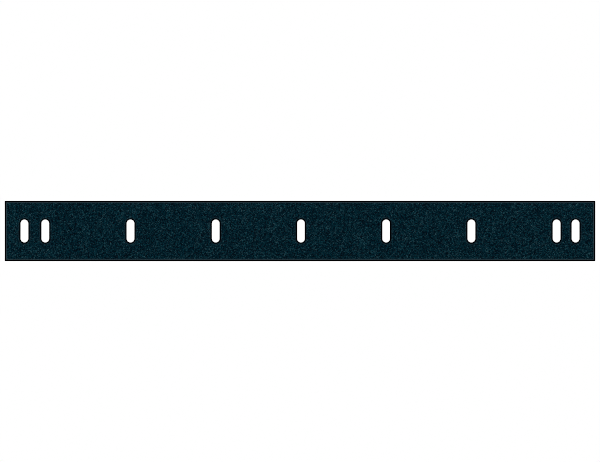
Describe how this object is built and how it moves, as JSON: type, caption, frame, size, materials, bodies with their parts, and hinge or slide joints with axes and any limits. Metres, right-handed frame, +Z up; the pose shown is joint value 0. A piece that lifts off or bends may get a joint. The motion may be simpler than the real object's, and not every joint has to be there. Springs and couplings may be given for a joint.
{
  "type": "atv plow cutting edge",
  "caption": "Long flat steel cutting edge for an ATV snow plow blade, with a row of upright bolt slots, doubled at each end, in blue-black speckled paint with black rims.",
  "frame": {"origin": "centre of the back face, which lies against the plow blade", "axes": "+X along the bar to the right as seen from the front, +Y through the plate from its front face to its back face, +Z up"},
  "size_m": [1.2446, 0.0063, 0.127],
  "materials": {
    "edge_paint": "satin"
  },
  "bodies": {
    "root": {"cutting_edge": "edge_paint"}
  },
  "joints": []
}
